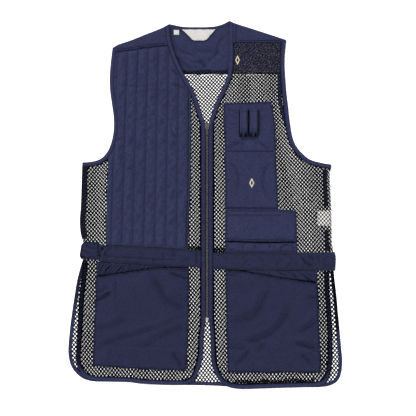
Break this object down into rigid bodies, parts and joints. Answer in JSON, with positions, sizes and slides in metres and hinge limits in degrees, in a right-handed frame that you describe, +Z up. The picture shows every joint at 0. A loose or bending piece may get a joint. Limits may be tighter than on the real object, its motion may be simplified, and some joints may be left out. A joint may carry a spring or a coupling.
{
  "type": "shooting vest",
  "caption": "Sleeveless shooting vest laid flat: mesh body, quilted shoulder pad, flapped chest pocket, cartridge loops, lower pockets, waist belts and a front zip.",
  "frame": {"origin": "middle of the vest's outline, on the surface that it lies on", "axes": "+X to the right as seen from above, +Y towards the neck, +Z up from the surface, out of the vest's front"},
  "size_m": [0.6026, 0.81, 0.0208],
  "materials": {
    "mesh": "black polyester net",
    "cotton": "navy twill",
    "binding": "navy woven binding",
    "dark_binding": "black woven tape",
    "label": "off-white woven label, blank",
    "thread": "pale gold satin stitch",
    "zip_metal": "dulled nickel"
  },
  "bodies": {
    "vest": {"back_mesh": "mesh", "back_yoke": "cotton", "back_neck_binding": "binding", "back_armhole_binding_left": "binding", "back_armhole_binding_right": "binding", "back_side_binding_left": "binding", "back_side_binding_right": "binding", "back_hem_binding": "binding", "front_mesh_left": "mesh", "front_mesh_right": "mesh", "front_yoke_left": "cotton", "front_yoke_right": "cotton", "armhole_binding_left": "binding", "armhole_binding_right": "binding", "neck_binding_left": "binding", "neck_binding_right": "binding", "front_band_left": "binding", "front_band_right": "binding", "front_hem_binding_left": "binding", "front_hem_binding_right": "binding", "front_side_binding_left": "dark_binding", "front_side_binding_right": "dark_binding", "side_seam_left": "dark_binding", "side_seam_right_high": "dark_binding", "side_seam_right_low": "dark_binding", "shoulder_pad": "cotton", "belt_left": "cotton", "belt_tab_left": "cotton", "belt_right": "cotton", "gather_left": "cotton", "gather_right": "cotton", "pocket_left": "cotton", "pocket_right": "cotton", "chest_panel": "cotton", "chest_pocket": "cotton", "chest_flap": "cotton", "shell_loop_left": "cotton", "shell_loop_right": "cotton", "neck_label": "label", "size_tag": "label", "care_label": "label", "mesh_mark": "thread", "panel_mark": "thread", "zip_chain": "zip_metal", "zip_box": "zip_metal", "zip_slider": "zip_metal"},
    "zip_pull": {"zip_pull": "zip_metal"}
  },
  "joints": [
    {"name": "zip_pull_hinge", "type": "hinge", "parent": "vest", "child": "zip_pull", "pos_m": [0.004, 0.173, 0.007], "axis": [-1, 0, 0], "range_deg": [0, 170]}
  ]
}
